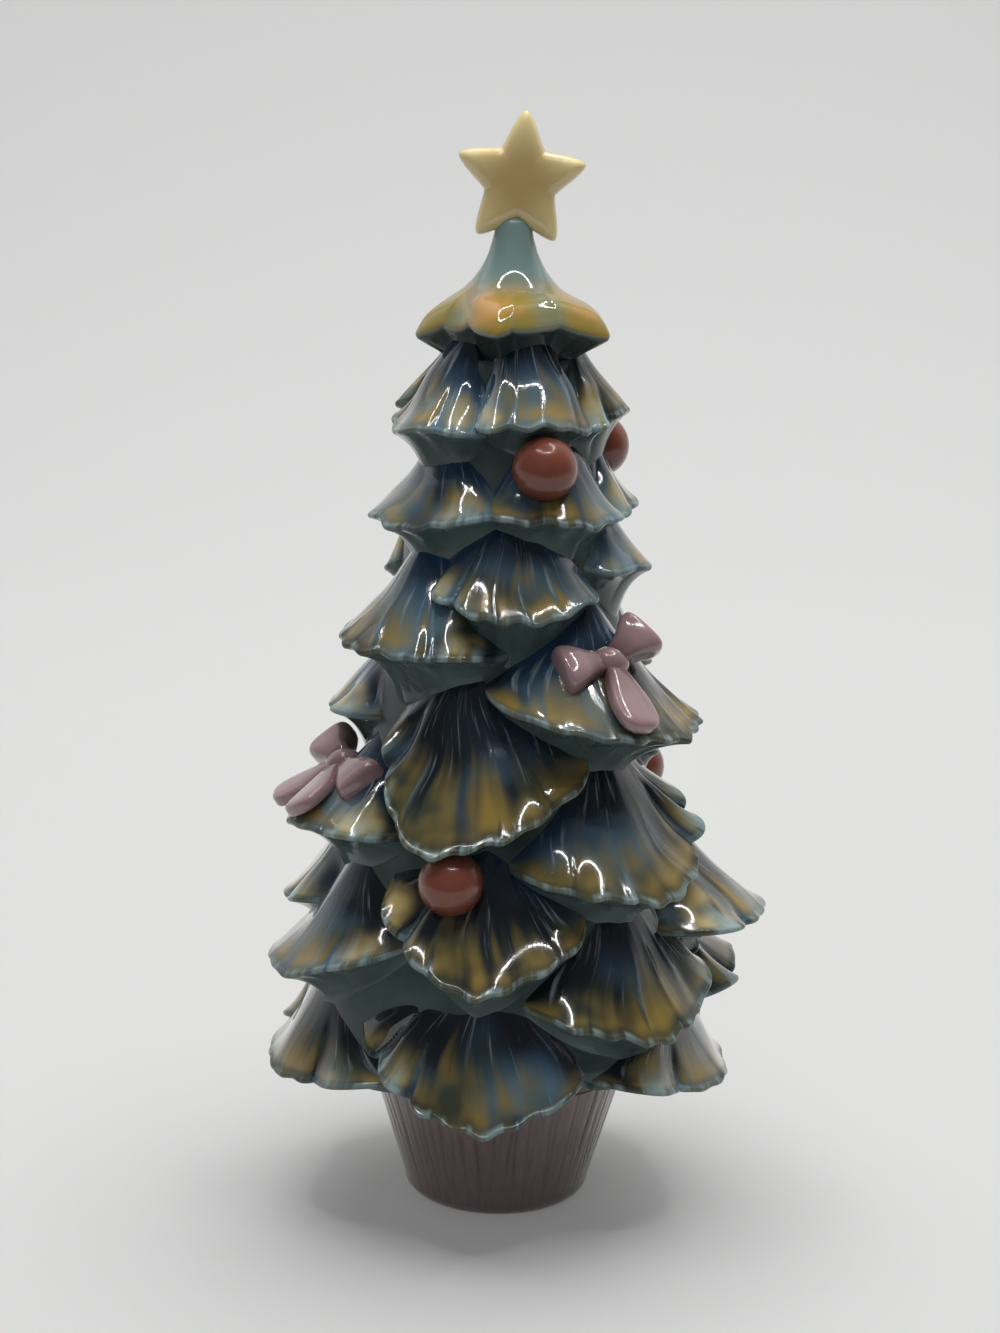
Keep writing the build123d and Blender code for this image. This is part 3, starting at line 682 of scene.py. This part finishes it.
# Celadon over rutile on the crown: ochre where the skirt catches it, grey-green on the spire and soffit; the
# soffit under the lip is darker, partly its glaze and partly painted shade.
crown_glaze, tree, shader = new_glaze("celadon_over_rutile", 0.1, 1.0)
up_mark, crest_mark, lobe_mark = mark(tree, "crown_up"), mark(tree, "crest"), mark(tree, "lobe")
patch = noise(object_space(tree), 0.008, 4.0)
teal = over(patch, linear("#66807d"), linear("#92aaa6"))
ochre = over(ease(patch, 0.35, 0.65), linear("#968640"), linear("#c08d44"))
blur = reckon("MULTIPLY_ADD", patch, 0.22, up_mark)
skirt_place = times(ease(blur, 0.19, 0.27), ease(blur, 0.5, 0.72, 1, 0), ease(lobe_mark, 0.0, 0.3, 0.6, 1))
colour = over(skirt_place, teal, ochre)
colour = over(times(ease(crest_mark, 0.6, 0.95), 0.15), colour, linear("#8fa79c"))
# The soffit under the lip is darker: partly its glaze, partly painted shade under the overhang.
colour = over(ease(up_mark, 0.12, 0.17, 1, 0), colour, linear("#2c3936"))
tree.links.new(colour, shader.inputs["Base Color"])
tree.links.new(ease(up_mark, 0.12, 0.17, 0.2, 1), shader.inputs["Coat Weight"])
tree.links.new(ease(up_mark, 0.12, 0.17, 0.2, 0.5), shader.inputs["Specular IOR Level"])
crown = skin("crown_spire", crown_rings, crown_glaze, **crown_marks)
place(crown, "crown")

# Star: a thick pressed star with hollow sides and rounded points, astride the spire's tip. Butter-yellow
# glaze, a little browner towards the middle of the face.
STAR_R = 0.0135
STAR_RISE = 0.0115
STAR_LEAN = math.radians(4)
STAR_POINTS = 5
STAR_POINT_ROUND = 0.1
STAR_CROTCH_SHARE = 0.56
STAR_NARROW_SHARE = 0.965
STAR_FACE_SHARE = 0.62
STAR_FACE_POWER = 0.35
STAR_AROUND = 240
# Depth as a share of half the thickness, then outline as a share of the star's radius.
STAR_PUFF_SHARES = (
    (-1.0, 0.03), (-0.995, 0.4), (-0.97, 0.6), (-0.91, 0.75), (-0.79, 0.86), (-0.60, 0.94), (-0.35, 0.985),
    (0.0, 1.0), (0.35, 0.985), (0.60, 0.94), (0.79, 0.86), (0.91, 0.75), (0.97, 0.6), (0.995, 0.4),
    (1.0, 0.03),
)
star_low, star_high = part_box("star")
star_half = (star_high.y - star_low.y) / 2
star_x, star_z = (star_low.x + star_high.x) / 2, star_low.z + STAR_RISE
star_turn = full_turn(STAR_AROUND)
arm = math.pi / STAR_POINTS
from_point = np.abs((star_turn + arm) % (2 * arm) - arm) / arm
from_point = np.hypot(from_point, STAR_POINT_ROUND) - STAR_POINT_ROUND
point_share = between(STAR_CROTCH_SHARE, 1, np.clip(1 - from_point, 0, 1) ** 2)
puff_depth, puff_out = np.array(STAR_PUFF_SHARES)[:, :1], np.array(STAR_PUFF_SHARES)[:, 1:]
star_ring_r = STAR_R * puff_out * between(STAR_FACE_SHARE, point_share, puff_out**STAR_FACE_POWER)
star_ring_x = star_x + STAR_NARROW_SHARE * star_ring_r * np.sin(star_turn + STAR_LEAN)
star_ring_z = star_z + star_ring_r * np.cos(star_turn + STAR_LEAN)
star_rings = np.stack(np.broadcast_arrays(star_ring_x, -puff_depth * star_half, star_ring_z), -1)

# Butter-yellow earthenware glaze: opaque, warm, slightly browner towards the middle of the front face.
star_glaze, tree, shader = new_glaze("butter_yellow_glaze", 0.12, 0.9)
space = object_space(tree)
face_middle = {0: space, 1: (star_x, -star_half, star_z)}
off_middle = add_node(tree, "ShaderNodeVectorMath", face_middle, operation="DISTANCE").outputs["Value"]
colour = over(noise(space, 0.009, 3.0), linear("#e6cf90"), linear("#ecd9a2"))
colour = over(ease(off_middle, 0.002, 0.0115, 0.75, 0.0), colour, linear("#b8955a"))
tree.links.new(colour, shader.inputs["Base Color"])
star = skin("star_body", star_rings, star_glaze)
place(star, "star")

# Baubles: clay balls rolled in the palm and stuck on with slip under the boughs, so none is quite round.
# Terracotta-red glaze, darker towards the foot.
BAUBLES = ("bauble_2_front", "bauble_2_right", "bauble_4_back", "bauble_6_back_left", "bauble_6_right",
           "bauble_7_front")
BAUBLE_AROUND = 72
BAUBLE_STEPS = 40
BAUBLE_POLE_SHARE = 0.004
BAUBLE_UNEVEN_SHARE = 0.02
BAUBLE_SWELL_SHARE = 1.08
bauble_glaze, tree, shader = new_glaze("terracotta_red_glaze", 0.24, 0.5, specular=0.3)
colour = over(noise(object_space(tree), 0.005, 4.0), linear("#723d30"), linear("#824939"))
colour = over(ease(mark(tree, "fall"), 0.5, 0.95, 0.0, 0.7), colour, linear("#3f1e18"))
tree.links.new(colour, shader.inputs["Base Color"])
fall = np.linspace(1 - BAUBLE_POLE_SHARE, BAUBLE_POLE_SHARE, BAUBLE_STEPS)[:, None]
ball_turn = full_turn(BAUBLE_AROUND)
for number, name in enumerate(BAUBLES):
    low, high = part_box(name)
    middle, radius = (low + high) / 2, BAUBLE_SWELL_SHARE * (high.z - low.z) / 2
    uneven = np.sin(2 * ball_turn + number) * np.sin(2 * math.pi * fall + 2 * number) * np.sin(math.pi * fall)
    ball_r = radius * (1 - BAUBLE_UNEVEN_SHARE * (1 + uneven) / 2)
    rings = at_azimuth(ball_turn, ball_r * np.sin(math.pi * fall), ball_r * np.cos(math.pi * fall))
    ball = skin(name + "_ball", rings + np.array(middle), bauble_glaze, fall=fall + 0 * ball_turn)
    place(ball, name)

# Bows: ribbons of clay folded into loops and tails and pinched under a knot, then pressed on to a bough.
# Dusty pink opaque glaze, browner in the folds where it pooled.
BOW_AROUND = 56
BOW_EDGE_POWER = 0.62
BOW_OUTWARD = 0.62
BOW_UPWARD = 0.78
KNOT_STEPS = 28
KNOT_POLE_SHARE = 0.01
KNOT_PINCH_SHARE = 0.1
KNOT_TALL_SHARE = 0.92
KNOT_POOLED = 0.25
POOLED_ALONG_SHARE = 0.4
# Place along the limb, then shares of its width and thickness: a loop flares from the knot to a blunt end,
# and a tail is widest past its middle.
LOOP_SHARES = (
    (-0.3, 0.48, 0.66), (0.0, 0.54, 0.76), (0.18, 0.63, 0.84), (0.40, 0.80, 0.94), (0.60, 0.94, 1.0),
    (0.80, 1.0, 1.0), (0.90, 0.98, 0.96), (0.96, 0.91, 0.88), (0.99, 0.80, 0.76), (1.0, 0.62, 0.58),
)
TAIL_SHARES = (
    (-0.2, 0.40, 0.9), (0.0, 0.52, 1.15), (0.2, 0.74, 1.1), (0.45, 0.95, 1.0), (0.66, 1.0, 0.95),
    (0.80, 0.96, 0.92), (0.90, 0.82, 0.86), (0.97, 0.56, 0.74), (1.0, 0.30, 0.5),
)
# The width, thickness and shares of each kind of limb, then each limb's kind and its share of the CAD length.
LIMBS = {"loop": (0.0102, 0.0068, LOOP_SHARES), "tail": (0.009, 0.0036, TAIL_SHARES)}
BOWS = {
    "bow_right": {"bow_right_loop_left": ("loop", 0.76), "bow_right_loop_right": ("loop", 0.84),
                  "bow_right_tail": ("tail", 1.0)},
    "bow_left": {"bow_left_loop_upper": ("loop", 1.14), "bow_left_loop_lower": ("loop", 1.0),
                 "bow_left_tail_outer": ("tail", 1.0), "bow_left_tail_inner": ("tail", 1.0)},
}
bow_glaze, tree, shader = new_glaze("dusty_pink_glaze", 0.14, 0.9)
colour = over(noise(object_space(tree), 0.004, 4.0), linear("#8f7275"), linear("#a18486"))
colour = over(times(mark(tree, "fold"), 0.7), colour, linear("#6c5051"))
tree.links.new(colour, shader.inputs["Base Color"])
bow_turn = full_turn(BOW_AROUND)[0]


def unit(vector):
    return vector / np.linalg.norm(vector)


def middle_of(node):
    low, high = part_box(node)
    return np.array((low + high) / 2)


def squared(wave):
    # A circle's coordinate, pushed out towards a rounded square.
    return np.sign(wave) * np.abs(wave) ** BOW_EDGE_POWER


def limb_rings(start, way, outward, length, width, thickness, shares):
    across = unit(np.cross(way, outward))
    off = np.cross(across, way)
    rings, pooled = [], []
    for along, width_share, thickness_share in shares:
        centre = start + way * (length * along)
        ring = centre + across * (width * width_share / 2 * squared(np.cos(bow_turn)))[:, None]
        rings.append(ring + off * (thickness * thickness_share / 2 * squared(np.sin(bow_turn)))[:, None])
        pooled.append(np.full(BOW_AROUND, 1 - smooth_step(along, 0.0, POOLED_ALONG_SHARE)))
    return rings, pooled


for bow, limbs in BOWS.items():
    knot_low, knot_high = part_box(bow + "_knot")
    knot, knot_r = middle_of(bow + "_knot"), (knot_high.z - knot_low.z) / 2
    outward = BOW_OUTWARD * unit(np.array([knot[0], knot[1], 0.0]))
    outward = unit(outward + np.array([0.0, 0.0, BOW_UPWARD]))
    for limb, (kind, share) in limbs.items():
        lean = middle_of(limb) - knot
        way, length = unit(lean), share * 2 * (np.linalg.norm(lean) - knot_r)
        rings, pooled = limb_rings(knot + way * knot_r, way, outward, length, *LIMBS[kind])
        place(skin(limb + "_ribbon", rings, bow_glaze, fold=pooled), limb)
    fall = np.linspace(1 - KNOT_POLE_SHARE, KNOT_POLE_SHARE, KNOT_STEPS)[:, None]
    pinch = 1 - KNOT_PINCH_SHARE * np.cos(2 * bow_turn) * np.sin(math.pi * fall) ** 2
    knot_z = KNOT_TALL_SHARE * knot_r * np.cos(math.pi * fall)
    rings = at_azimuth(bow_turn, knot_r * pinch * np.sin(math.pi * fall), knot_z)
    pooled = np.full((KNOT_STEPS, BOW_AROUND), KNOT_POOLED)
    place(skin(bow + "_knot_pinch", rings + knot, bow_glaze, fold=pooled), bow + "_knot")

# Studio: a pale paper sweep, a ring lamp and a soft panel overhead, a weak fill from the front, and the
# camera half a metre away, a little above the tree and looking down on it.
SWEEP_WIDTH = 3.0
SWEEP_FRONT = -0.4
SWEEP_BACK = 0.75
SWEEP_BEND = 0.5
SWEEP_TOP = 1.8
SWEEP_BEND_STEPS = 24
bend_turn = np.linspace(0, math.pi / 2, SWEEP_BEND_STEPS)
bend_y, bend_z = SWEEP_BACK + SWEEP_BEND * np.sin(bend_turn), SWEEP_BEND * (1 - np.cos(bend_turn))
sweep_y = np.concatenate([[SWEEP_FRONT], bend_y, [SWEEP_BACK + SWEEP_BEND]])
sweep_z = np.concatenate([[0.0], bend_z, [SWEEP_TOP]])
sweep_points = [(x, y, z) for y, z in zip(sweep_y, sweep_z) for x in (-SWEEP_WIDTH / 2, SWEEP_WIDTH / 2)]
sweep_faces = [(2 * i, 2 * i + 1, 2 * i + 3, 2 * i + 2) for i in range(len(sweep_y) - 1)]
sweep_mesh = bpy.data.meshes.new("paper_sweep")
sweep_mesh.from_pydata(sweep_points, [], sweep_faces)
sweep_mesh.polygons.foreach_set("use_smooth", [True] * len(sweep_faces))

# Matt white paper: a light grey to the lamps, so that it keeps the tree's shadow, and paler where it is
# seen, mirrored or looked through, with painted light that grows a little towards the back.
sweep_paper = bpy.data.materials.new("matt_white_paper")
sweep_paper.use_nodes = True
tree = sweep_paper.node_tree
shader = tree.nodes["Principled BSDF"]
shader.inputs["Base Color"].default_value = linear("#b4b4b3")
shader.inputs["Roughness"].default_value = 0.8
shader.inputs["Emission Color"].default_value = linear("#fdfdfc")
ray = add_node(tree, "ShaderNodeLightPath").outputs
seen = reckon("ADD", ray["Is Camera Ray"], ray["Is Glossy Ray"])
seen = reckon("ADD", seen, ray["Is Transmission Ray"])
back = add_node(tree, "ShaderNodeSeparateXYZ", {0: object_space(tree)}).outputs["Y"]
# The glow grows towards the back as painted light on the sweep.
tree.links.new(times(seen, ease(back, 0.0, 1.0, 0.13, 0.25)), shader.inputs["Emission Strength"])
sweep_mesh.materials.append(sweep_paper)
sweep = bpy.data.objects.new("paper_sweep", sweep_mesh)
bpy.context.scene.collection.objects.link(sweep)

TREE_MIDDLE = (0.0, 0.0, 0.11)
PANEL_SPOT = (0.1, 0.45, 1.5)
PANEL_SIZE = 2.0
PANEL_WATTS = 26.0
FILL_SPOT = (-0.25, -1.2, 0.75)
FILL_SIZE = 1.0
FILL_WATTS = 2.6
RING_LAMPS = 36
RING_R = 0.42
RING_MIDDLE = (0.05, -0.05, 1.15)
RING_LAMP_SIZE = 0.026
RING_LAMP_WATTS = 0.2


def add_lamp(name, shape, size, watts, spot):
    # An area lamp that is aimed at the middle of the tree.
    lamp = bpy.data.lights.new(name, "AREA")
    lamp.shape = shape
    lamp.size = size
    lamp.energy = watts
    holder = bpy.data.objects.new(name, lamp)
    holder.location = spot
    way = np.array(TREE_MIDDLE) - np.array(spot)
    holder.rotation_euler = (math.atan2(math.hypot(way[0], way[1]), -way[2]), 0, math.atan2(-way[0], way[1]))
    bpy.context.scene.collection.objects.link(holder)
    return holder


# The broad lamps light the glaze without a mirrored square in it; the small lamps of the ring are mirrored.
add_lamp("overhead_panel", "SQUARE", PANEL_SIZE, PANEL_WATTS, PANEL_SPOT).visible_glossy = False
add_lamp("front_fill", "SQUARE", FILL_SIZE, FILL_WATTS, FILL_SPOT).visible_glossy = False
for step in range(RING_LAMPS):
    turn = 2 * math.pi * step / RING_LAMPS
    ring_x, ring_y = RING_MIDDLE[0] + RING_R * math.cos(turn), RING_MIDDLE[1] + RING_R * math.sin(turn)
    add_lamp(f"ring_lamp_{step}", "DISK", RING_LAMP_SIZE, RING_LAMP_WATTS, (ring_x, ring_y, RING_MIDDLE[2]))

# The room is pale behind the tree and grey in front of it, so that the glaze stays deep.
ROOM_STRENGTH = 0.85
world = bpy.data.worlds.new("studio_room")
world.use_nodes = True
tree = world.node_tree
direction = add_node(tree, "ShaderNodeTexCoord").outputs["Generated"]
facing = add_node(tree, "ShaderNodeSeparateXYZ", {0: direction}).outputs["Y"]
room = over(ease(facing, -0.2, 0.8), linear("#55585b"), linear("#fafafa"))
tree.links.new(room, tree.nodes["Background"].inputs["Color"])
tree.nodes["Background"].inputs["Strength"].default_value = ROOM_STRENGTH
bpy.context.scene.world = world

CAMERA_SPOT = (-0.0011, -0.511, 0.2169)
CAMERA_PITCH = math.radians(11.74)
CAMERA_ROLL = math.radians(1.05)
CAMERA_LENS = 70
CAMERA_SENSOR = 36
camera_data = bpy.data.cameras.new("camera")
camera_data.lens = CAMERA_LENS
camera_data.sensor_width = CAMERA_SENSOR
camera = bpy.data.objects.new("camera", camera_data)
camera.location = CAMERA_SPOT
camera.rotation_mode = "XYZ"
camera.rotation_euler = (math.pi / 2 - CAMERA_PITCH, 0, 0)
camera.rotation_euler.rotate_axis("Z", CAMERA_ROLL)
bpy.context.scene.collection.objects.link(camera)
bpy.context.scene.camera = camera
bpy.context.scene.view_settings.view_transform = "Standard"
